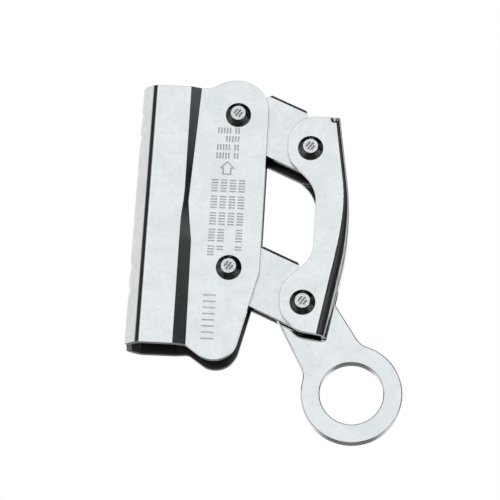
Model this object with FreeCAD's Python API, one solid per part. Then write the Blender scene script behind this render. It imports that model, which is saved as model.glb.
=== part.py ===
import FreeCAD, Part
import math
import os

# Rope grab with two parallel levers, made of folded stainless sheet. All sizes are in millimetres.
# +Z runs up the rope, +X runs from the rope to the lanyard eye, and -Y is the engraved front.
# The origin is on the rope's centre line, halfway along the rope channel.

V = FreeCAD.Vector
FRONT = -1
REAR = 1
SIDES = (FRONT, REAR)

# Sheet and depths, measured from the middle plane
SHEET = 2.0
PLATE_Y = 8.0
PANEL_Y = 9.6
LEVER_Y = 5.8
EYE_Y = 2.5
THROUGH = 30.0

# Rope channel
ROPE_R = 5.5
CHANNEL_HALF = 53.3
NOSE_X = 8.3
FACET_DISTANCE = 9.36
FACET_ANGLE = 48.0
BEND_OUT = 4.0
BEND_IN = 2.0
CREST_R = 0.8
CREST_IN_R = 0.4
RIB_LINE = ((1.4, 0.0), (0.0, 1.15), (-2.4, 0.4), (-6.5, 0.0))
RIB_DROPS = ((0.6, 9.8), (0.1, 9.6))
RIDGE_LEVEL = 0.8
RIDGE_HALF = 2.4
MOUTH_R = 4.4
SPINE_CORNER_R = 1.8

# Step between channel panel and plate: height, then how far its foot and its crest are from the rope
STEP_LINE = (
    (66.0, 15.9, 11.1),
    (10.0, 13.2, 11.5),
    (5.0, 13.0, 11.3),
    (-2.0, 13.9, 10.6),
    (-11.0, 15.2, 10.5),
    (-66.0, 16.0, 10.7),
)

# Pivots: two on the body, two on the handle, joined by equal parallel arms
PIVOT_X = 30.5
UPPER_Z = 42.4
LOWER_Z = -21.4
ARM = 32.0
DROOP = 23.6

# Body plates
SPINE_SPARE = 0.4
PLATE_EDGE_X = 42.45
TOP_SHOULDER_X = 19.0
TOP_LOBE_PEAK = 65.9
TOP_LOBE_R = 13.0
TAPER_Z = -22.5
FOOT_LOBE_CORNER = (32.3, -64.8)
FOOT_LOBE_R = 9.2
FOOT_STEP_X = 15.7

# Rivets and bushes
SHANK_R = 3.0
RUNNING = 0.05
BUSH_R = 4.5
HEAD_R = 5.0
HEAD_FLAT_R = 3.15
HEAD_RIM = 0.6
HEAD_H = 2.5
HEAD_BREAK = 0.2
MARK_DEPTH = 0.35
MARK_WIDE = 0.6
MARK_BARS = ((-1.15, 2.3), (0.05, 3.4), (1.2, 2.1))
MARK_TURN = 35.0

# Levers, in arm coordinates: u from body pivot to handle pivot, v square to it
WEB_TOP = 14.8
WEB_START = 8.0
WEB_END = 22.9
CHEEK_BOTTOMS = {"upper": (-9.9, -10.8), "lower": (-9.9, -8.6)}
HUB_R = 8.5
HEEL_U = {"upper": 16.5, "lower": 13.5}
HEEL_RUN = 7.0
WEB_RAMP = 4.4
WEB_TAIL = 3.8
LEVER_BEND = 1.9
CAM_RIVET_R = 1.75
CAM_RIVET_SPOTS = ((8.6, 4.4), (8.6, -4.4))

# Cams: a spiral nose that reaches further as the lever turns down
CAM_HALF = 5.5
CAM_TANG_HALF = 3.7
CAM_NOSE_START = 12.5
CAM_POCKET_R = 10.0
CAM_CHIN = ((-13.5, -16.0), (-7.0, -9.0))
CAM_BROW = (-7.5, 8.5)
CAM_TANG = ((4.0, -8.5), (12.0, -7.0), (12.0, 7.0), (2.0, 9.0))
CONTACT_ANGLE = 21.0
ROPE_GAP = 0.05
NOSE_FROM = -16.0
NOSE_TO = 46.0
NOSE_STEPS = 8
TOOTH_COUNT = 7
TOOTH_R = 0.45

# Spring between the cam's ears
EAR_INNER = 1.9
WIRE_R = 0.4
COIL_R = 5.45
COIL_TURNS = 3
COIL_PITCH = 0.95
SPRING_LEG = 7.0
SPRING_TURN = -150.0

# Handle: its web, then its two lobes as (x, z, corner radius) from the handle pivot beside each
HANDLE_BEND_TOP = 2.3
HANDLE_BEND_FOOT = 5.0
HANDLE_BEND_IN = 0.6
HANDLE_TOP = 13.5
HANDLE_WEB = ((11.2, HANDLE_TOP, 0.0), (17.95, -31.5, 115.0), (9.8, -76.8, 0.0))
HANDLE_CROWN = (-9.0, HANDLE_TOP, 11.0)
HANDLE_LOWER_LOBE = ((-2.0, -11.3, 8.0), (-9.0, -4.2, 9.5), (-9.0, 7.2, 9.5), (3.0, 18.5, 12.0))
HANDLE_UPPER_LOBE = ((3.0, -15.9, 14.0), (-9.0, -4.7, 10.4))
RELIEF_R = 1.7
RELIEF_OUT = 0.7
RELIEF_AT = (8.9, HANDLE_TOP - 0.8)
SLOT_HALF = 3.3
SLOT_RISE = 7.6
SLOT_START = 6.0

# Eye link
LINK_LENGTH = 39.6
LINK_ANGLE = 31.0
LINK_HUB_R = 11.2
LINK_NECK = 12.3
LINK_NECK_AT = 24.0
RING_R = 19.5
EYE_R = 12.2
EYE_CHAMFER = 0.3
NECK_FILLET = 8.0
WASHER_R = 6.5
WASHER_T = 1.1

# Shallow marks on the front plate
ENGRAVE = 0.25
STROKE = 0.38
STROKE_PITCH = 1.15
STROKE_TALL = 2.3
ROW_PITCH = 3.55
ARROW_TOP = (27.4, 22.6)
ARROW_HALF = 3.0
ARROW_NECK = 1.7
ARROW_TALL = 5.6
ARROW_LINE = 0.32
NOTE_END = (31.2, 35.6)
NOTE_LENGTHS = (8, 5, 8, 8)
COLUMN_START = (23.0, 14.6)
COLUMN_LENGTHS = (28, 26, 17, 26)
FOOT_MARK_START = (23.8, -33.0)
FOOT_MARK_COUNT = 8
FOOT_MARK_PITCH = 2.5
FOOT_MARK_TALL = 4.6

EDGE_BREAK = 0.3


def pivot(level):
    """Centre of a body rivet."""
    return (PIVOT_X, UPPER_Z if level == "upper" else LOWER_Z)


def handle_pivot(level):
    """Centre of a handle rivet: one arm's length from the body rivet, drooping."""
    x, z = pivot(level)
    slope = math.radians(DROOP)
    return (x + ARM * math.cos(slope), z - ARM * math.sin(slope))


def rounded_wire(corners, place):
    """Closed wire through (a, b, radius) corners, each one rounded by a tangent arc."""
    points = [V(a, b, 0) for a, b, _ in corners]
    entries = []
    exits = []
    middles = []
    for i, (_, _, radius) in enumerate(corners):
        corner = points[i]
        to_last = (points[i - 1] - corner).normalize()
        to_next = (points[(i + 1) % len(points)] - corner).normalize()
        half = to_last.getAngle(to_next) / 2
        cut = radius / math.tan(half)
        entries.append(corner + to_last * cut)
        exits.append(corner + to_next * cut)
        inward = (to_last + to_next).normalize()
        middles.append(corner + inward * (radius / math.sin(half) - radius))
    edges = []
    for i, (_, _, radius) in enumerate(corners):
        start = place(exits[i - 1])
        entry = place(entries[i])
        if start.distanceToPoint(entry) > 1e-6:
            edges.append(Part.makeLine(start, entry))
        if radius > 0:
            edges.append(Part.Arc(entry, place(middles[i]), place(exits[i])).toShape())
    return Part.Wire(edges)


def at_depth(y):
    """Maps a flat outline into the plane at depth y."""
    return lambda point: V(point.x, y, point.y)


def plate(corners, y_from, y_to):
    """Outline in X and Z, thick from y_from to y_to."""
    face = Part.Face(rounded_wire(corners, at_depth(y_from)))
    return face.extrude(V(0, y_to - y_from, 0))


def rod(centre, radius, y_from, y_to):
    """Round bar along Y."""
    return Part.makeCylinder(radius, y_to - y_from, V(centre[0], y_from, centre[1]), V(0, 1, 0))


def bar(x_from, x_to, y_half, z_from, z_to):
    """Box centred on the middle plane."""
    return Part.makeBox(x_to - x_from, 2 * y_half, z_to - z_from, V(x_from, -y_half, z_from))


def turned(profile, centre):
    """Solid of revolution about Y from (y, radius) points that start and end on the axis."""
    points = [V(centre[0] + radius, y, centre[1]) for y, radius in profile]
    face = Part.Face(Part.makePolygon(points + [points[0]]))
    return face.revolve(V(centre[0], 0, centre[1]), V(0, 1, 0), 360)


def along_arm(shape, level):
    """Moves a shape drawn in arm coordinates to its place."""
    x, z = pivot(level)
    shape.rotate(V(0, 0, 0), V(0, 1, 0), DROOP)
    shape.translate(V(x, 0, z))
    return shape


def outer_edges(shape, y):
    """Edges that lie wholly in the plane at depth y."""
    found = []
    for edge in shape.Edges:
        box = edge.BoundBox
        if abs(box.YMin - y) < 1e-4 and abs(box.YMax - y) < 1e-4:
            found.append(edge)
    return found


def broken_edges(shape, y_half, size=EDGE_BREAK):
    """Takes the sharp edge off both outer faces of a flat piece."""
    edges = outer_edges(shape, -y_half) + outer_edges(shape, y_half)
    return shape.makeChamfer(size, edges)


# Body shell

def facet_corner(inset):
    """Where the slanted facet meets the channel panel, for a face inset from the outside."""
    slope = math.radians(FACET_ANGLE)
    y = PANEL_Y - inset
    return (-(FACET_DISTANCE - inset - y * math.sin(slope)) / math.cos(slope), -y)


def nose_corner(inset):
    """Where the slanted facet meets the nose of the spine."""
    slope = math.radians(FACET_ANGLE)
    x = NOSE_X - inset
    return (-x, -(FACET_DISTANCE - inset - x * math.cos(slope)) / math.sin(slope))


def sheet_section(z, foot_x, crest_x):
    """Cross-section of the folded sheet at height z."""
    far_x = PLATE_EDGE_X + THROUGH
    rows = []
    faces = ((0, BEND_OUT, CREST_R, CREST_IN_R), (SHEET, BEND_IN, CREST_IN_R, CREST_R))
    for inset, bend, crest, foot in faces:
        half = [
            (far_x, -(PLATE_Y - inset), 0),
            (foot_x, -(PLATE_Y - inset), foot),
            (crest_x, -(PANEL_Y - inset), crest),
            facet_corner(inset) + (bend,),
            nose_corner(inset) + (bend,),
        ]
        mirrored = [(x, -y, radius) for x, y, radius in reversed(half)]
        rows.append(half + mirrored)
    outside, inside = rows
    return rounded_wire(outside + inside[::-1], lambda point: V(point.x, point.y, z))


def body_outline():
    """Side view of the body: channel, top lobe, straight edge, taper and foot lobe."""
    left = -NOSE_X - SPINE_SPARE
    return [
        (left, CHANNEL_HALF, SPINE_CORNER_R),
        (TOP_SHOULDER_X, CHANNEL_HALF, 8.0),
        (PLATE_EDGE_X, TOP_LOBE_PEAK, TOP_LOBE_R),
        (PLATE_EDGE_X, TAPER_Z, 12.0),
        FOOT_LOBE_CORNER + (FOOT_LOBE_R,),
        (FOOT_STEP_X, -CHANNEL_HALF, 4.0),
        (left, -CHANNEL_HALF, SPINE_CORNER_R / 2),
    ]


def rib_wedge(base_x, z, half_width, level=1.0):
    """Wedge across the spine, steep above and gradual below; `level` scales its depth."""
    outline = [(base_x + level * depth, z + rise, 0) for rise, depth in RIB_LINE]
    back = base_x - 0.5
    outline += [(back, outline[-1][1], 0), (back, outline[0][1], 0)]
    return plate(outline, -half_width, half_width)


def stroke_box(x, z, wide, tall):
    """One engraved stroke in the front plate."""
    return Part.makeBox(wide, 2 * ENGRAVE, tall, V(x - wide / 2, -PLATE_Y - ENGRAVE, z - tall / 2))


def stroke_row(x, z, count, upright):
    """A row of plain strokes with a blank after every fifth; x, z is where it starts."""
    strokes = []
    for i in range(count):
        if i % 6 == 5:
            continue
        step = i * STROKE_PITCH
        if upright:
            strokes.append(stroke_box(x + step, z, STROKE, STROKE_TALL))
        else:
            strokes.append(stroke_box(x, z - step, STROKE_TALL, STROKE))
    return strokes


def arrow_shape(top, half, neck, tall, wing_z):
    """Solid arrow across the front plate's face: its tip at `top`, its wings' underside at wing_z."""
    x, z = top
    right = [(x + half, wing_z, 0), (x + neck, wing_z, 0), (x + neck, z - tall, 0)]
    left = [(2 * x - a, b, 0) for a, b, _ in reversed(right)]
    return plate([(x, z, 0)] + right + left, -PLATE_Y - ENGRAVE, -PLATE_Y + ENGRAVE)


def arrow_mark():
    """Outline of an arrow that points up the rope, its line ARROW_LINE wide."""
    x, z = ARROW_TOP
    wing_z = z - ARROW_HALF
    outer = arrow_shape(ARROW_TOP, ARROW_HALF, ARROW_NECK, ARROW_TALL, wing_z)
    tip_drop = ARROW_LINE * math.sqrt(2)
    half = ARROW_HALF - ARROW_LINE - tip_drop
    neck = ARROW_NECK - ARROW_LINE
    tall = ARROW_TALL - ARROW_LINE - tip_drop
    return outer.cut(arrow_shape((x, z - tip_drop), half, neck, tall, wing_z + ARROW_LINE))


def front_marks():
    """Every shallow mark on the front plate."""
    marks = [arrow_mark()]
    end, top = NOTE_END
    for row, count in enumerate(NOTE_LENGTHS):
        marks += stroke_row(end - (count - 1) * STROKE_PITCH, top - row * ROW_PITCH, count, True)
    start, top = COLUMN_START
    for column, count in enumerate(COLUMN_LENGTHS):
        marks += stroke_row(start + column * ROW_PITCH, top, count, False)
    x, top = FOOT_MARK_START
    for i in range(FOOT_MARK_COUNT):
        marks.append(stroke_box(x, top - i * FOOT_MARK_PITCH, FOOT_MARK_TALL, STROKE))
    return marks


def body_shell():
    """The folded sheet that holds the rope and the two body rivets."""
    sections = [sheet_section(*row) for row in STEP_LINE]
    sheet = Part.makeLoft(sections, True, True)
    shell = sheet.common(plate(body_outline(), -THROUGH, THROUGH))
    notches = []
    ridges = []
    for level, drops in zip(("upper", "lower"), RIB_DROPS):
        for drop in drops:
            z = pivot(level)[1] - drop
            notches.append(rib_wedge(-NOSE_X, z, PANEL_Y))
            ridges.append(rib_wedge(-NOSE_X + SHEET, z, RIDGE_HALF, RIDGE_LEVEL))
    shell = shell.fuse(ridges)
    for end in (-CHANNEL_HALF, CHANNEL_HALF):
        notches.append(Part.makeCylinder(MOUTH_R, NOSE_X, V(-NOSE_X - SHEET, 0, end), V(1, 0, 0)))
    holes = [rod(pivot(level), SHANK_R, -THROUGH, THROUGH) for level in ("upper", "lower")]
    return shell.cut(notches + holes + front_marks())


# Rivets, bushes and washers

def coned_rivet(centre):
    """Rivet with the same coned head on both sides; each flat has a plain struck mark."""
    rim = HEAD_H - HEAD_RIM
    head = [(0, HEAD_FLAT_R - HEAD_BREAK), (HEAD_BREAK, HEAD_FLAT_R), (rim, HEAD_R - HEAD_BREAK)]
    head += [(rim + HEAD_BREAK, HEAD_R), (HEAD_H, HEAD_R), (HEAD_H, SHANK_R)]
    tip = PLATE_Y + HEAD_H
    front = [(-tip + y, radius) for y, radius in head]
    rear = [(tip - y, radius) for y, radius in reversed(head)]
    rivet = turned([(-tip, 0)] + front + rear + [(tip, 0)], centre)
    cuts = []
    for side in SIDES:
        y_from = min(side * tip, side * (tip - MARK_DEPTH))
        y_to = y_from + MARK_DEPTH
        for shift, tall in MARK_BARS:
            bar_x = centre[0] + shift - MARK_WIDE / 2
            mark = Part.makeBox(MARK_WIDE, MARK_DEPTH, tall, V(bar_x, y_from, centre[1] - tall / 2))
            mark.rotate(V(centre[0], 0, centre[1]), V(0, 1, 0), MARK_TURN)
            cuts.append(mark)
    return rivet.cut(cuts)


def sleeve(centre, outer, y_from, y_to):
    """Plain bush that runs on a rivet shank."""
    return rod(centre, outer, y_from, y_to).cut(rod(centre, SHANK_R + RUNNING, y_from, y_to))


def cheek_sleeves(centre):
    """A short bush in each lever cheek."""
    sleeves = [
        sleeve(centre, BUSH_R, -LEVER_Y, -LEVER_Y + SHEET),
        sleeve(centre, BUSH_R, LEVER_Y - SHEET, LEVER_Y),
    ]
    return Part.makeCompound(sleeves)


# Levers and cams

def cheek_outline(level, bottom):
    """Side view of a lever: hub, heel, straight bottom, handle end and web."""
    heel = HEEL_U[level]
    return [
        (-HUB_R, -HUB_R, HUB_R - 0.1),
        (heel - HEEL_RUN, -HUB_R, 2.0),
        (heel, bottom, 2.5),
        (ARM + HUB_R, bottom, HUB_R - 0.2),
        (ARM + HUB_R, HUB_R, HUB_R - 0.3),
        (WEB_END + WEB_TAIL, HUB_R, 1.0),
        (WEB_END, WEB_TOP, 2.0),
        (WEB_START, WEB_TOP, 0.4),
        (WEB_START - WEB_RAMP, HUB_R - 1, 3.0),
        (-HUB_R, HUB_R - 1, HUB_R - 1.5),
    ]


def lever(level):
    """Folded U sheet: front and rear cheeks joined by a web along the top, folded round LEVER_BEND."""
    front, rear = CHEEK_BOTTOMS[level]
    cheeks = plate(cheek_outline(level, front), -LEVER_Y, 0)
    cheeks = cheeks.fuse(plate(cheek_outline(level, rear), 0, LEVER_Y))
    fold_v = WEB_TOP - LEVER_BEND
    fold_y = LEVER_Y - LEVER_BEND
    rounded = bar(-2 * ARM, 2 * ARM, LEVER_Y, -2 * ARM, fold_v)
    rounded = rounded.fuse(bar(-2 * ARM, 2 * ARM, fold_y, -2 * ARM, WEB_TOP))
    for side in SIDES:
        start = V(-2 * ARM, side * fold_y, fold_v)
        rounded = rounded.fuse(Part.makeCylinder(LEVER_BEND, 4 * ARM, start, V(1, 0, 0)))
    solid = cheeks.common(rounded).removeSplitter()
    inside = bar(-2 * ARM, 2 * ARM, LEVER_Y - SHEET, -2 * ARM, WEB_TOP - SHEET)
    solid = solid.cut(inside)
    for spot in ((0, 0), (ARM, 0)):
        solid = solid.cut(rod(spot, BUSH_R, -THROUGH, THROUGH))
    for spot in CAM_RIVET_SPOTS:
        solid = solid.cut(rod(spot, CAM_RIVET_R, -THROUGH, THROUGH))
    return along_arm(solid, level)


def nose_point(level, angle):
    """Point of the spiral nose at an angle below the line from pivot to rope."""
    x, z = pivot(level)
    contact = math.radians(CONTACT_ANGLE)
    turn = math.radians(angle)
    reach = (x - ROPE_R - ROPE_GAP) / math.cos(contact)
    radius = reach * math.exp(math.tan(contact) * (turn - contact))
    return V(x - radius * math.cos(turn), 0, z - radius * math.sin(turn))


def cam_blank(level, y_half):
    """Cam block with its spiral nose, before the ears are cut."""
    x, z = pivot(level)
    step = (NOSE_TO - NOSE_FROM) / NOSE_STEPS
    nose = [nose_point(level, NOSE_FROM + i * step) for i in range(NOSE_STEPS + 1)]
    curve = Part.BSplineCurve()
    curve.interpolate(nose)
    slope = math.radians(DROOP)
    path = [nose[-1]]
    path += [V(x + a, 0, z + b) for a, b in CAM_CHIN]
    for u, v in CAM_TANG:
        path.append(V(x + u * math.cos(slope) + v * math.sin(slope), 0,
                      z - u * math.sin(slope) + v * math.cos(slope)))
    path += [V(x + CAM_BROW[0], 0, z + CAM_BROW[1]), nose[0]]
    edges = [curve.toShape()]
    edges += [Part.makeLine(a, b) for a, b in zip(path, path[1:])]
    face = Part.Face(Part.Wire(edges))
    face.translate(V(0, -y_half, 0))
    return face.extrude(V(0, 2 * y_half, 0))


def cam(level):
    """Cam block: wide grooved nose, forked tang between the lever's cheeks."""
    x, z = pivot(level)
    wide = cam_blank(level, CAM_HALF).cut(rod((x, z), CAM_NOSE_START, -THROUGH, THROUGH))
    wide = wide.cut(bar(x, x + ARM, THROUGH, z - ARM, z + ARM))
    solid = cam_blank(level, CAM_TANG_HALF).fuse(wide).removeSplitter()
    pocket = rod((x, z), CAM_POCKET_R, -EAR_INNER, EAR_INNER)
    pocket = pocket.fuse(bar(x, x + ARM, EAR_INNER, z - ARM, z + ARM))
    solid = solid.cut(pocket)
    solid = solid.cut(rod((x, z), BUSH_R, -THROUGH, THROUGH))
    grooves = []
    step = (NOSE_TO - NOSE_FROM) / (TOOTH_COUNT + 1)
    for i in range(TOOTH_COUNT):
        point = nose_point(level, NOSE_FROM + (i + 1) * step)
        grooves.append(rod((point.x, point.z), TOOTH_R, -THROUGH, THROUGH))
    solid = solid.cut(grooves)
    return solid.cut(along_arm(cam_rivet_rods(), level))


def cam_rivet_rods():
    """The two flush rivets of a cam, in arm coordinates."""
    return Part.makeCompound([rod(spot, CAM_RIVET_R, -LEVER_Y, LEVER_Y) for spot in CAM_RIVET_SPOTS])


def lever_spring(level):
    """Torsion spring between the cam's ears, with a leg at each end."""
    x, z = pivot(level)
    height = COIL_TURNS * COIL_PITCH
    helix = Part.makeHelix(COIL_PITCH, height, COIL_R)
    ring = Part.Wire(Part.makeCircle(WIRE_R, V(COIL_R, 0, 0), V(0, 1, 0)))
    coil = Part.Wire(helix).makePipeShell([ring], True, True)
    legs = []
    for end, direction in ((0, -1), (height, 1)):
        legs.append(Part.makeCylinder(WIRE_R, SPRING_LEG, V(COIL_R, 0, end), V(0, direction, 0)))
    spring = coil.fuse(legs)
    spring.rotate(V(0, 0, 0), V(1, 0, 0), 90)
    spring.translate(V(0, height / 2, 0))
    spring.rotate(V(0, 0, 0), V(0, 1, 0), SPRING_TURN)
    spring.translate(V(x, 0, z))
    return spring


# Handle

def beside(level, corners, inset=0):
    """Corners given from a handle pivot, moved to their place."""
    x, z = handle_pivot(level)
    return [(x + a - inset, z + b, radius) for a, b, radius in corners]


def web_line(inset):
    """Bowed web of the handle: top corner, bow, bottom corner."""
    return beside("upper", HANDLE_WEB, inset)


def handle_outline():
    """Side view of the handle: two lobes joined by a grip beside the bowed web."""
    outline = beside("upper", [HANDLE_CROWN]) + web_line(0)
    return outline + beside("lower", HANDLE_LOWER_LOBE) + beside("upper", HANDLE_UPPER_LOBE)


def beyond(start, end):
    """Point half as far again past the end of a line."""
    return (1.5 * end[0] - 0.5 * start[0], 1.5 * end[1] - 0.5 * start[1], 0)


def web_folds(solid, y_half):
    """The bowed edge where the web meets each plate: the long arc."""
    edges = outer_edges(solid, -y_half) + outer_edges(solid, y_half)
    return [edge for edge in edges if edge.Curve.TypeId == "Part::GeomCircle" and edge.Length > ARM]


def handle_shell():
    """Folded U sheet with a bowed web; the web is slotted low down for the eye link."""
    x, upper_z = handle_pivot("upper")
    lower_z = handle_pivot("lower")[1]
    solid = plate(handle_outline(), -PLATE_Y, PLATE_Y)
    for fold in web_folds(solid, PLATE_Y):
        high, low = HANDLE_BEND_TOP, HANDLE_BEND_FOOT
        if fold.Vertexes[0].Z < fold.Vertexes[-1].Z:
            high, low = low, high
        solid = solid.makeFillet(high, low, [fold])
    top, bow, foot = web_line(SHEET)
    top = beyond(bow, top)
    foot = beyond(bow, foot)
    far = x - 3 * ARM
    room = [(far, top[1], 0), top, bow, foot, (far, foot[1], 0)]
    half = PLATE_Y - SHEET
    inner = plate(room, -half, half)
    inner = inner.makeFillet(HANDLE_BEND_IN, web_folds(inner, half))
    solid = solid.cut(inner)
    slot_top = lower_z + SLOT_RISE
    start = V(x + SLOT_START, 0, slot_top - SLOT_HALF)
    slot = bar(start.x, x + ARM, SLOT_HALF, lower_z - ARM, start.z)
    slot = slot.fuse(Part.makeCylinder(SLOT_HALF, ARM, start, V(1, 0, 0)))
    solid = solid.cut(slot)
    for side in SIDES:
        dimple = V(x + RELIEF_AT[0], side * (PLATE_Y + RELIEF_OUT), upper_z + RELIEF_AT[1])
        solid = solid.cut(Part.makeSphere(RELIEF_R, dimple))
    for level in ("upper", "lower"):
        solid = solid.cut(rod(handle_pivot(level), SHANK_R, -THROUGH, THROUGH))
    return solid


# Eye link

def eye_centre():
    """Centre of the lanyard eye."""
    x, z = handle_pivot("lower")
    lean = math.radians(LINK_ANGLE)
    return (x + LINK_LENGTH * math.sin(lean), z - LINK_LENGTH * math.cos(lean))


def eye_link():
    """Flat plate: hub on the lower handle rivet, neck, and a ring around the eye."""
    neck = [(0, -LINK_HUB_R, 0), (LINK_NECK_AT, -LINK_NECK, 0), (LINK_LENGTH, -LINK_NECK, 0)]
    neck += [(a, -b, r) for a, b, r in reversed(neck)]
    ring = rod((LINK_LENGTH, 0), RING_R, -EYE_Y, EYE_Y)
    hub = rod((0, 0), LINK_HUB_R, -EYE_Y, EYE_Y)
    link = plate(neck, -EYE_Y, EYE_Y).fuse([ring, hub]).removeSplitter()
    roots = []
    for edge in link.Edges:
        box = edge.BoundBox
        if box.YLength > EYE_Y and 20 < box.XMin < LINK_LENGTH and box.XLength < 1e-4:
            roots.append(edge)
    link = link.makeFillet(NECK_FILLET, roots)
    link = broken_edges(link, EYE_Y)
    for side in SIDES:
        mouth = Part.makeCone(EYE_R, EYE_R + EYE_CHAMFER, EYE_CHAMFER,
                              V(LINK_LENGTH, side * (EYE_Y - EYE_CHAMFER), 0), V(0, side, 0))
        link = link.cut(mouth)
    link = link.cut(rod((LINK_LENGTH, 0), EYE_R, -THROUGH, THROUGH))
    link = link.cut(rod((0, 0), BUSH_R, -THROUGH, THROUGH))
    x, z = handle_pivot("lower")
    link.rotate(V(0, 0, 0), V(0, 1, 0), 90 - LINK_ANGLE)
    link.translate(V(x, 0, z))
    return link


def eye_washer(side):
    """Washer between the eye link and a lever cheek."""
    gap = (LEVER_Y - SHEET - EYE_Y - WASHER_T) / 2
    near = side * (EYE_Y + gap)
    far = side * (EYE_Y + gap + WASHER_T)
    return sleeve(handle_pivot("lower"), WASHER_R, min(near, far), max(near, far))


def export(shapes):
    """Writes one STEP file per node."""
    os.makedirs("parts", exist_ok=True)
    for name, shape in shapes.items():
        shape.exportStep("parts/" + name + ".step")
        print(name, "solids", len(shape.Solids), "valid", shape.isValid(), "mm3", round(shape.Volume, 1))


def build():
    """Every node by name."""
    shapes = {
        "body_shell": body_shell(),
        "handle_shell": handle_shell(),
        "eye_link": eye_link(),
        "eye_bush": sleeve(handle_pivot("lower"), BUSH_R, -EYE_Y, EYE_Y),
        "eye_washer_front": eye_washer(FRONT),
        "eye_washer_rear": eye_washer(REAR),
        "handle_bush_upper": sleeve(handle_pivot("upper"), BUSH_R, -LEVER_Y, LEVER_Y),
        "handle_bushes_lower": cheek_sleeves(handle_pivot("lower")),
    }
    for level in ("upper", "lower"):
        shapes["body_rivet_" + level] = coned_rivet(pivot(level))
        shapes["handle_rivet_" + level] = coned_rivet(handle_pivot(level))
        shapes["lever_" + level] = lever(level)
        shapes["lever_bush_" + level] = sleeve(pivot(level), BUSH_R, -LEVER_Y, LEVER_Y)
        shapes["cam_" + level] = cam(level)
        shapes["cam_rivets_" + level] = along_arm(cam_rivet_rods(), level)
        shapes["lever_spring_" + level] = lever_spring(level)
    return shapes


export(build())
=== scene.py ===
import bpy
import math
from mathutils import Matrix, Vector

# Rope grab with two parallel levers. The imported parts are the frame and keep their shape:
# this script gives each one its surface, and adds the studio round them. Metres, +Z up the rope,
# front towards -Y.

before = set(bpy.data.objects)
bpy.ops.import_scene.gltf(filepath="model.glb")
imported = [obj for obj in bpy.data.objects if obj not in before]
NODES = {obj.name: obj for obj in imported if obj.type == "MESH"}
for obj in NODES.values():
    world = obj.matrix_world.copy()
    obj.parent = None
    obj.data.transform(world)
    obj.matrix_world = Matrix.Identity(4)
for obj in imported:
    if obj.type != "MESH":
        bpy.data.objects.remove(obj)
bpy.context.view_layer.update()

MM = 0.001

# Camera: below the object and nearly square to its front
CAMERA_AIM = Vector((37.9, 0.0, -11.2)) * MM
CAMERA_TURN = math.radians(3.3)
CAMERA_RISE = math.radians(-18.5)
CAMERA_ROLL = math.radians(3.5)
CAMERA_AWAY = 0.9
LENS = 164.9
SENSOR = 36.0
CLIP_START = 0.01
CLIP_END = 20.0

# Floor: pale, with faint cloudy patches
FLOOR_Z = -0.42
FLOOR_SIZE = 6.0
FLOOR_PATCH = 0.05
FLOOR_DARK = (0.80, 0.80, 0.79, 1.0)
FLOOR_LIGHT = (0.84, 0.84, 0.83, 1.0)
FLOOR_ROUGHNESS = 0.7

# Light that each direction sends, as (degrees, level). ABOVE and BELOW go round from the front, over
# and under the horizon, and blend between the degrees of HORIZON. FALL goes from straight down to
# straight up, and multiplies them
ABOVE = (
    (-180, 0.95), (-140, 0.90), (-118, 0.86), (-74, 0.86), (-64, 0.04), (-24, 0.02),
    (-17, 1.25), (-10, 0.97), (10, 0.97), (15, 1.25), (21, 0.02), (29, 0.02), (36, 0.10), (48, 0.07),
    (70, 0.02), (94, 0.03), (100, 0.66), (118, 0.70), (132, 0.15), (158, 0.80), (180, 0.95),
)
BELOW = (
    (-180, 0.20), (-166, 0.20), (-140, 0.72), (-120, 0.60),
    (120, 0.60), (140, 0.72), (166, 0.20), (180, 0.20),
)
FALL = (
    (-90, 0.60), (-76, 0.50), (-68, 0.08), (-60, 0.10), (-35, 0.70), (-10, 1.0),
    (30, 1.0), (37, 1.2), (46, 0.05), (66, 0.04), (76, 0.70), (90, 0.80),
)
HORIZON = (-8, 2)
BACKGROUND = (1.0, 1.0, 1.0, 1.0)

# The front softbox is a little cool, fading out between these degrees to each side
FRONT_TINT = (0.965, 1.0, 1.015, 1.0)
FRONT_EDGE = (60, 40)

# Samples of the rounded edge and crevice nodes
NODE_SAMPLES = 6

# Where a face counts as: worn and given a painted highlight, by the cosine between the rounded and the
# flat surface; inside a fold, by how far it looks to the middle plane; a fold or a rivet's flat, by how
# far it looks sideways
WORN_AND_HIGHLIGHT = (0.995, 0.80)
INSIDE = (-0.25, -0.45)
FOLD = (0.97, 0.90)
RIVET_FLAT = (0.90, 0.97)

# Marks on tumbled sheet, with its painted highlight on edges and painted shade inside folds and crevices:
# sizes, stretches along X, Y and Z, and how much of each shows
BLOTCH_SIZE = 9 * MM
MOTTLE_SIZE = 1.6 * MM
GRAIN_SIZE = 0.30 * MM
GRAIN_DEPTH = 0.0006 * MM
SPECKS_APART = 2.6 * MM
SPECK_SHOW = 0.45
SCUFF_SIZE = 0.5 * MM
SCUFF_STRETCH = (9, 1, 1.5)
SCUFF_ROUGHER = 0.10
STREAK_STRETCH = (1, 1, 40)
WORN_AND_HIGHLIGHT_SHOW = 0.7
INSIDE_SHADE_SHOW = 0.9
INSIDE_ROUGHER = 0.22
CREVICE_SHADE_REACH = 7.0 * MM


# Node helpers

def new_material(name):
    """Empty node material with its output and shader."""
    material = bpy.data.materials.new(name)
    material.use_nodes = True
    tree = material.node_tree
    tree.nodes.clear()
    output = tree.nodes.new("ShaderNodeOutputMaterial")
    shader = tree.nodes.new("ShaderNodeBsdfPrincipled")
    tree.links.new(shader.outputs["BSDF"], output.inputs["Surface"])
    return material, tree, shader


def feed(tree, socket, value):
    """Links a socket to a socket, or sets a plain value."""
    if isinstance(value, bpy.types.NodeSocket):
        tree.links.new(value, socket)
    else:
        socket.default_value = value


def math_node(tree, kind, *values, clamp=False):
    """Math node; each value is a number or a socket."""
    node = tree.nodes.new("ShaderNodeMath")
    node.operation = kind
    node.use_clamp = clamp
    for socket, value in zip(node.inputs, values):
        feed(tree, socket, value)
    return node.outputs[0]


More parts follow.
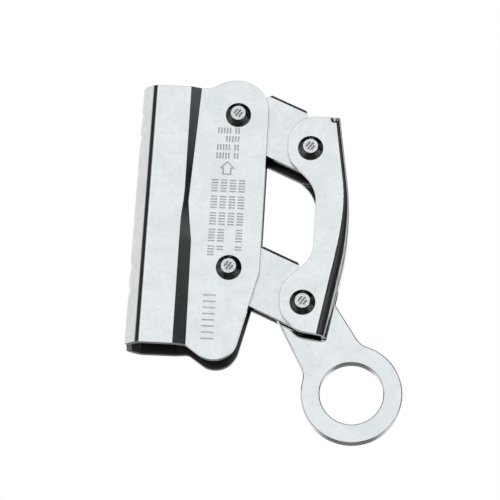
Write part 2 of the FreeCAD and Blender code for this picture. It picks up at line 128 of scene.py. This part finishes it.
def vector_node(tree, kind, *values):
    """Vector math node."""
    node = tree.nodes.new("ShaderNodeVectorMath")
    node.operation = kind
    for socket, value in zip(node.inputs, values):
        feed(tree, socket, value)
    return node.outputs["Value"] if kind == "DOT_PRODUCT" else node.outputs[0]


def span(tree, value, low, high, to_low=0.0, to_high=1.0):
    """Maps low..high to to_low..to_high, clamped."""
    node = tree.nodes.new("ShaderNodeMapRange")
    feed(tree, node.inputs["Value"], value)
    for name, number in (("From Min", low), ("From Max", high), ("To Min", to_low), ("To Max", to_high)):
        feed(tree, node.inputs[name], number)
    return node.outputs["Result"]


def mix_colour(tree, factor, a, b, blend="MIX"):
    """Mixes two colours."""
    node = tree.nodes.new("ShaderNodeMix")
    node.data_type = "RGBA"
    node.blend_type = blend
    feed(tree, node.inputs["Factor"], factor)
    feed(tree, node.inputs["A"], a)
    feed(tree, node.inputs["B"], b)
    return node.outputs["Result"]


def noise(tree, place, size, detail=2.0, distortion=0.0, stretch=(1, 1, 1)):
    """Noise whose blotches are about `size` metres across."""
    moved = vector_node(tree, "MULTIPLY", place, tuple(1 / s for s in stretch))
    node = tree.nodes.new("ShaderNodeTexNoise")
    feed(tree, node.inputs["Vector"], moved)
    node.inputs["Scale"].default_value = 1 / size
    node.inputs["Detail"].default_value = detail
    node.inputs["Distortion"].default_value = distortion
    return node.outputs["Fac"]


def cells(tree, place, size):
    """Distance from the middles of cells about `size` metres across."""
    node = tree.nodes.new("ShaderNodeTexVoronoi")
    feed(tree, node.inputs["Vector"], place)
    node.inputs["Scale"].default_value = 1 / size
    return node.outputs["Distance"]


def grey(level, tint=(1.0, 1.0, 1.0)):
    """Colour of a given level and tint."""
    return tuple(level * t for t in tint) + (1.0,)


def bump(tree, height, depth, normal=None):
    """Bump of a 0..1 height, `depth` metres deep."""
    node = tree.nodes.new("ShaderNodeBump")
    node.inputs["Strength"].default_value = 1.0
    feed(tree, node.inputs["Distance"], depth)
    feed(tree, node.inputs["Height"], height)
    if normal is not None:
        tree.links.new(normal, node.inputs["Normal"])
    return node.outputs["Normal"]


def object_place(tree):
    """Object coordinates, in metres; they move with the part."""
    return tree.nodes.new("ShaderNodeTexCoord").outputs["Object"]


def rounded_edges(tree, radius):
    """Normals of an edge rounded by `radius`, and how far they lean from the flat, 0..1."""
    bevel = tree.nodes.new("ShaderNodeBevel")
    bevel.samples = NODE_SAMPLES
    bevel.inputs["Radius"].default_value = radius
    geometry = tree.nodes.new("ShaderNodeNewGeometry")
    agree = vector_node(tree, "DOT_PRODUCT", bevel.outputs["Normal"], geometry.outputs["Normal"])
    return bevel.outputs["Normal"], span(tree, agree, *WORN_AND_HIGHLIGHT)


def facing_parts(tree):
    """Separate X, Y and Z of the part's own surface direction."""
    node = tree.nodes.new("ShaderNodeSeparateXYZ")
    tree.links.new(tree.nodes.new("ShaderNodeTexCoord").outputs["Normal"], node.inputs[0])
    return node.outputs


def facing_middle(tree, place):
    """1 on faces of a folded sheet that look towards the middle plane, inside the fold."""
    parts = tree.nodes.new("ShaderNodeSeparateXYZ")
    tree.links.new(place, parts.inputs[0])
    side = math_node(tree, "SIGN", parts.outputs["Y"])
    return span(tree, math_node(tree, "MULTIPLY", facing_parts(tree)["Y"], side), *INSIDE)


def crevices(tree, reach):
    """1 in the open, falling to 0 in corners and gaps closer than `reach`."""
    node = tree.nodes.new("ShaderNodeAmbientOcclusion")
    node.samples = NODE_SAMPLES
    node.inputs["Distance"].default_value = reach
    return node.outputs["AO"]


# Materials

def sheet_steel(name, level=0.88, tint=(0.975, 0.985, 0.99), rough=(0.09, 0.15), edge=0.26 * MM,
                dents=0.5 * MM, dent_depth=0.0012 * MM, wave_depth=0.006 * MM,
                streaks_apart=0.30 * MM, streak_shade=0.1, streak_depth=0.001 * MM):
    """Stainless sheet after tumbling: faint blotches, tiny dents and specks, edges brightened by wear and
    a painted highlight, painted shade inside the folds and in crevices, and die lines along its upright
    folds."""
    material, tree, shader = new_material(name)
    place = object_place(tree)
    blotches = noise(tree, place, BLOTCH_SIZE, detail=4.0, distortion=0.8)
    mottle = noise(tree, place, MOTTLE_SIZE, detail=4.0)
    grain = noise(tree, place, GRAIN_SIZE, detail=2.0)
    hits = cells(tree, place, dents)
    between_specks = span(tree, cells(tree, place, SPECKS_APART), 0.05, 0.10)
    scuffs = noise(tree, place, SCUFF_SIZE, detail=3.0, stretch=SCUFF_STRETCH)
    scuffs = span(tree, scuffs, 0.64, 0.74)

    light = grey(level, tint)
    dull = grey(level * 0.925, (0.965, 0.995, 0.995))
    colour = mix_colour(tree, span(tree, blotches, 0.35, 0.65), dull, light)
    colour = mix_colour(tree, span(tree, mottle, 0.50, 0.72, 0.0, 0.45), colour, grey(level * 0.84, tint))
    specks = math_node(tree, "SUBTRACT", 1.0, between_specks)
    colour = mix_colour(tree, math_node(tree, "MULTIPLY", specks, SPECK_SHOW), colour, grey(0.30))
    normal, worn_and_highlight = rounded_edges(tree, edge)
    # Edges are brightened towards near white: partly wear, partly a painted highlight along every rim
    colour = mix_colour(tree, math_node(tree, "MULTIPLY", worn_and_highlight, WORN_AND_HIGHLIGHT_SHOW), colour, grey(0.97, tint))
    folds = span(tree, math_node(tree, "ABSOLUTE", facing_parts(tree)["Y"]), *FOLD)
    streaks = noise(tree, place, streaks_apart, detail=2.0, stretch=STREAK_STRETCH)
    shade = math_node(tree, "MULTIPLY", folds, span(tree, streaks, 0.35, 0.65, streak_shade, 0.0))
    colour = mix_colour(tree, shade, colour, grey(level * 0.4, tint))
    # Faces inside the folds are painted dark grey: painted shade where the fold keeps the light off them
    inside = facing_middle(tree, place)
    shade = math_node(tree, "MULTIPLY", inside, INSIDE_SHADE_SHOW)
    colour = mix_colour(tree, shade, colour, grey(0.24, (1.0, 0.99, 0.97)))
    # Corners and gaps closer than the reach are painted near black: painted shade
    crevice_shade = span(tree, crevices(tree, CREVICE_SHADE_REACH), 0.10, 0.55, 0.85, 0.0)
    colour = mix_colour(tree, crevice_shade, colour, grey(0.04, (1.0, 0.98, 0.95)))
    tree.links.new(colour, shader.inputs["Base Color"])

    roughness = span(tree, mottle, 0.3, 0.7, rough[0], rough[1])
    roughness = math_node(tree, "ADD", roughness, math_node(tree, "MULTIPLY", inside, INSIDE_ROUGHER))
    roughness = math_node(tree, "ADD", roughness, math_node(tree, "MULTIPLY", scuffs, SCUFF_ROUGHER))
    roughness = math_node(tree, "ADD", roughness, span(tree, grain, 0.3, 0.7, -0.03, 0.04), clamp=True)
    tree.links.new(roughness, shader.inputs["Roughness"])
    shader.inputs["Metallic"].default_value = 1.0

    normal = bump(tree, blotches, wave_depth, normal)
    normal = bump(tree, math_node(tree, "MULTIPLY", streaks, folds), streak_depth, normal)
    normal = bump(tree, hits, dent_depth, normal)
    normal = bump(tree, grain, GRAIN_DEPTH, normal)
    tree.links.new(normal, shader.inputs["Normal"])
    return material


def rivet_steel(name, mottle_size=0.8 * MM, grain_size=0.22 * MM, smear_size=0.7 * MM, edge=0.18 * MM,
                shade_reach=1.0 * MM, hammer_depth=0.02 * MM, grain_depth=0.003 * MM):
    """Cold-headed rivet: cones painted dark as painted shade, flats struck bright."""
    material, tree, shader = new_material(name)
    place = object_place(tree)
    flat = span(tree, math_node(tree, "ABSOLUTE", facing_parts(tree)["Y"]), *RIVET_FLAT)
    mottle = noise(tree, place, mottle_size, detail=4.0)
    grain = noise(tree, place, grain_size, detail=2.0)
    smears = noise(tree, place, smear_size, detail=3.0, stretch=(1, 4, 1))

    # The cones are painted dark and the flats light by which way they face: painted shade on the cones
    cone_painted_shade = mix_colour(tree, span(tree, smears, 0.50, 0.70), grey(0.10, (0.95, 0.98, 1.0)), grey(0.26))
    face = mix_colour(tree, span(tree, mottle, 0.40, 0.65), grey(0.86, (0.98, 0.99, 1.0)), grey(0.60))
    colour = mix_colour(tree, flat, cone_painted_shade, face)
    normal, worn_and_highlight = rounded_edges(tree, edge)
    # Rims of the head are brightened: partly wear, partly a painted highlight
    colour = mix_colour(tree, math_node(tree, "MULTIPLY", worn_and_highlight, 0.45), colour, grey(0.9))
    # Where the head meets the sheet it is painted near black: painted contact shadow
    crevice_shade = span(tree, crevices(tree, shade_reach), 0.45, 0.95, 0.95, 0.0)
    colour = mix_colour(tree, crevice_shade, colour, grey(0.02))
    tree.links.new(colour, shader.inputs["Base Color"])
    tree.links.new(span(tree, mottle, 0.3, 0.7, 0.18, 0.34), shader.inputs["Roughness"])
    shader.inputs["Metallic"].default_value = 1.0
    normal = bump(tree, mottle, hammer_depth, normal)
    normal = bump(tree, grain, grain_depth, normal)
    tree.links.new(normal, shader.inputs["Normal"])
    return material


def machined(name, level, tint, rough, metallic=1.0, ring_axis=None, ring_pitch=0.25 * MM,
             ring_depth=0.004 * MM, mottle_size=1.1 * MM, grain_size=0.2 * MM, grain_depth=0.003 * MM,
             edge=0.15 * MM, shade_reach=2.0 * MM):
    """Cut or turned part with a mottled tone; `ring_axis` adds fine tool lines round that axis."""
    material, tree, shader = new_material(name)
    place = object_place(tree)
    mottle = noise(tree, place, mottle_size, detail=4.0)
    grain = noise(tree, place, grain_size, detail=2.0)
    colour = mix_colour(tree, span(tree, mottle, 0.35, 0.65), grey(level * 0.8, tint), grey(level, tint))
    normal, worn_and_highlight = rounded_edges(tree, edge)
    # Edges are brightened: partly wear, partly a painted highlight
    bright = grey(min(level * 1.3, 0.95), tint)
    colour = mix_colour(tree, math_node(tree, "MULTIPLY", worn_and_highlight, 0.5), colour, bright)
    # Corners and gaps are painted near black: painted shade
    crevice_shade = span(tree, crevices(tree, shade_reach), 0.2, 0.8, 0.7, 0.0)
    colour = mix_colour(tree, crevice_shade, colour, grey(0.04))
    tree.links.new(colour, shader.inputs["Base Color"])
    tree.links.new(span(tree, grain, 0.3, 0.7, rough - 0.05, rough + 0.07), shader.inputs["Roughness"])
    shader.inputs["Metallic"].default_value = metallic
    if ring_axis is not None:
        parts = tree.nodes.new("ShaderNodeSeparateXYZ")
        tree.links.new(place, parts.inputs[0])
        turns = math_node(tree, "DIVIDE", parts.outputs[ring_axis], ring_pitch)
        wave = math_node(tree, "SINE", math_node(tree, "MULTIPLY", turns, math.tau))
        normal = bump(tree, math_node(tree, "MULTIPLY", wave, 0.5), ring_depth, normal)
    normal = bump(tree, grain, grain_depth, normal)
    tree.links.new(normal, shader.inputs["Normal"])
    return material


# Studio

def ramp(tree, value, stops):
    """Grey of an angle in radians, through (degrees, level) stops."""
    first = stops[0][0]
    last = stops[-1][0]
    node = tree.nodes.new("ShaderNodeValToRGB")
    tree.links.new(span(tree, value, math.radians(first), math.radians(last)), node.inputs["Fac"])
    elements = node.color_ramp.elements
    while len(elements) < len(stops):
        elements.new(0.5)
    for element, (angle, level) in zip(elements, stops):
        element.position = (angle - first) / (last - first)
        element.color = grey(level)
    return node.outputs["Color"]


def studio_world():
    """White to the camera and for the light on the floor; soft boxes all round in the reflections."""
    world = bpy.data.worlds.new("studio")
    bpy.context.scene.world = world
    world.use_nodes = True
    tree = world.node_tree
    tree.nodes.clear()
    output = tree.nodes.new("ShaderNodeOutputWorld")
    way = tree.nodes.new("ShaderNodeTexCoord").outputs["Generated"]
    parts = tree.nodes.new("ShaderNodeSeparateXYZ")
    tree.links.new(way, parts.inputs[0])
    back = math_node(tree, "MULTIPLY", parts.outputs["Y"], -1.0)
    around = math_node(tree, "ARCTAN2", parts.outputs["X"], back)
    up = math_node(tree, "ARCSINE", parts.outputs["Z"])
    upper = ramp(tree, around, ABOVE)
    lower = ramp(tree, around, BELOW)
    over = span(tree, up, *(math.radians(angle) for angle in HORIZON))
    light = mix_colour(tree, over, lower, upper)
    light = mix_colour(tree, 1.0, light, ramp(tree, up, FALL), blend="MULTIPLY")
    aside = math_node(tree, "ABSOLUTE", around)
    front = span(tree, aside, *(math.radians(angle) for angle in FRONT_EDGE))
    light = mix_colour(tree, front, light, FRONT_TINT, blend="MULTIPLY")
    studio = tree.nodes.new("ShaderNodeBackground")
    tree.links.new(light, studio.inputs["Color"])
    plain = tree.nodes.new("ShaderNodeBackground")
    plain.inputs["Color"].default_value = BACKGROUND
    pick = tree.nodes.new("ShaderNodeMixShader")
    path = tree.nodes.new("ShaderNodeLightPath").outputs
    white = math_node(tree, "MAXIMUM", path["Is Camera Ray"], path["Is Diffuse Ray"])
    tree.links.new(white, pick.inputs[0])
    tree.links.new(studio.outputs[0], pick.inputs[1])
    tree.links.new(plain.outputs[0], pick.inputs[2])
    tree.links.new(pick.outputs[0], output.inputs["Surface"])


def floor():
    """Plain pale floor, well below the object, which hangs; the steel doesn't mirror it."""
    mesh = bpy.data.meshes.new("floor")
    half = FLOOR_SIZE / 2
    corners = [(-half, -half, 0), (half, -half, 0), (half, half, 0), (-half, half, 0)]
    mesh.from_pydata(corners, [], [(0, 1, 2, 3)])
    plane = bpy.data.objects.new("floor", mesh)
    plane.location = (0, 0, FLOOR_Z)
    plane.visible_glossy = False
    bpy.context.scene.collection.objects.link(plane)
    material, tree, shader = new_material("floor_pale")
    place = object_place(tree)
    patches = span(tree, noise(tree, place, FLOOR_PATCH, detail=4.0), 0.3, 0.7)
    colour = mix_colour(tree, patches, FLOOR_DARK, FLOOR_LIGHT)
    tree.links.new(colour, shader.inputs["Base Color"])
    shader.inputs["Roughness"].default_value = FLOOR_ROUGHNESS
    mesh.materials.append(material)


def camera():
    """Camera below the object and nearly square to its front, rolled a little."""
    data = bpy.data.cameras.new("camera")
    data.lens = LENS
    data.sensor_width = SENSOR
    data.clip_start = CLIP_START
    data.clip_end = CLIP_END
    eye = bpy.data.objects.new("camera", data)
    level = math.cos(CAMERA_RISE)
    back = Vector((math.sin(CAMERA_TURN) * level, -math.cos(CAMERA_TURN) * level, math.sin(CAMERA_RISE)))
    right = Vector((math.cos(CAMERA_TURN), math.sin(CAMERA_TURN), 0.0))
    up = back.cross(right)
    rolled_right = right * math.cos(CAMERA_ROLL) + up * math.sin(CAMERA_ROLL)
    rolled_up = up * math.cos(CAMERA_ROLL) - right * math.sin(CAMERA_ROLL)
    turn = Matrix((rolled_right, rolled_up, back)).transposed()
    eye.matrix_world = Matrix.Translation(CAMERA_AIM + back * CAMERA_AWAY) @ turn.to_4x4()
    bpy.context.scene.collection.objects.link(eye)
    bpy.context.scene.camera = eye


def finish_of(node):
    """Name of the surface a node gets, from its name."""
    if "cam_rivets" in node:
        return "flush_rivet"
    if "rivet" in node:
        return "rivet"
    if "washer" in node:
        return "washer"
    if "bush" in node:
        return "bush"
    if "spring" in node:
        return "spring"
    if node.startswith("cam"):
        return "cam"
    if node == "eye_link":
        return "link"
    if node == "handle_shell":
        return "handle"
    if node.startswith("lever"):
        return "lever"
    return "plate"


def dress():
    """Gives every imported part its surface."""
    surfaces = {
        "plate": sheet_steel("plate_steel_tumbled"),
        "handle": sheet_steel("handle_steel_tumbled", streaks_apart=0.5 * MM, streak_shade=0.6,
                              streak_depth=0.014 * MM),
        "lever": sheet_steel("lever_steel_tumbled", level=0.87, rough=(0.11, 0.18), dents=0.6 * MM),
        "link": sheet_steel("link_steel_polished", rough=(0.05, 0.10), edge=0.32 * MM,
                            dent_depth=0.0008 * MM),
        "rivet": rivet_steel("rivet_steel_headed"),
        "flush_rivet": machined("flush_rivet_steel", 0.62, (1.0, 0.99, 0.97), 0.30),
        "cam": machined("cam_steel_cast", 0.45, (1.0, 0.97, 0.93), 0.38),
        "bush": machined("bush_bronze_turned", 0.75, (1.0, 0.72, 0.40), 0.30, ring_axis="Y"),
        "spring": machined("spring_wire_drawn", 0.60, (1.0, 0.98, 0.95), 0.25),
        "washer": machined("washer_nylon_moulded", 0.60, (1.0, 0.98, 0.92), 0.50, metallic=0.0),
    }
    for name, node in NODES.items():
        material = surfaces[finish_of(name)]
        node.data.materials.clear()
        node.data.materials.append(material)


camera()
studio_world()
floor()
dress()
bpy.context.scene.view_settings.view_transform = "Standard"
bpy.context.scene.view_settings.look = "None"
